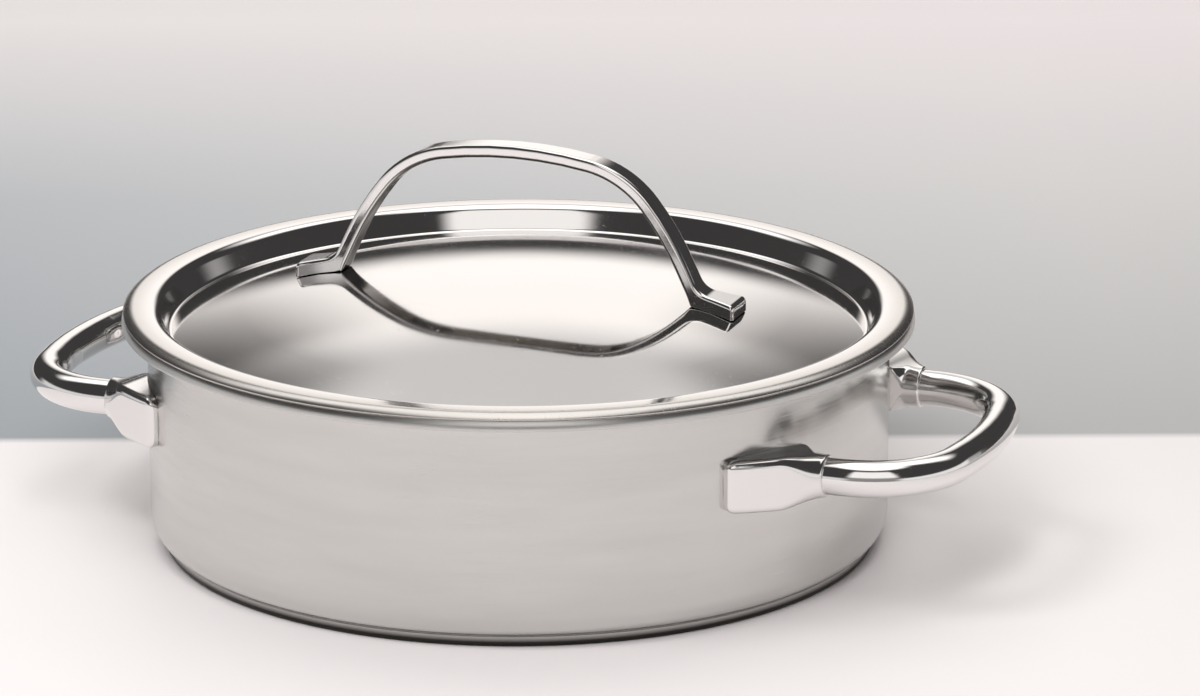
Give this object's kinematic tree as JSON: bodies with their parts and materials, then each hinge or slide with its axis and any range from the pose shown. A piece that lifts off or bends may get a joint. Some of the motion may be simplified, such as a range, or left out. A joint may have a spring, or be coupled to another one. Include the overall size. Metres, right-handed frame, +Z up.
{
  "type": "braiser with lid",
  "caption": "Wide, low stainless steel braising pot with a sandwich base, tube side handles in cast feet, and a recessed domed lid with an arched strap handle.",
  "frame": {"origin": "middle of the base, on the surface that the pot stands on", "axes": "+X through the right side handle, +Z up, and the two side handles and the lid handle lie along X"},
  "size_m": [0.3828, 0.3, 0.1525],
  "materials": {
    "pot_steel": "satin outside wall, polished rim",
    "lid_steel": "polished",
    "handle_steel": "mirror polished",
    "base_steel": "satin, turned",
    "core_aluminium": "rolled"
  },
  "bodies": {
    "pot": {"pot_body": "pot_steel", "base_core": "core_aluminium", "base_cap": "base_steel", "right_handle_loop": "handle_steel", "left_handle_loop": "handle_steel", "right_front_foot": "handle_steel", "right_rear_foot": "handle_steel", "left_front_foot": "handle_steel", "left_rear_foot": "handle_steel"},
    "lid": {"lid": "lid_steel", "lid_handle": "handle_steel"}
  },
  "joints": [
    {"name": "lid_lift", "type": "slide", "parent": "pot", "child": "lid", "axis": [0, 0, 1], "range_m": [0, 0.15]}
  ]
}
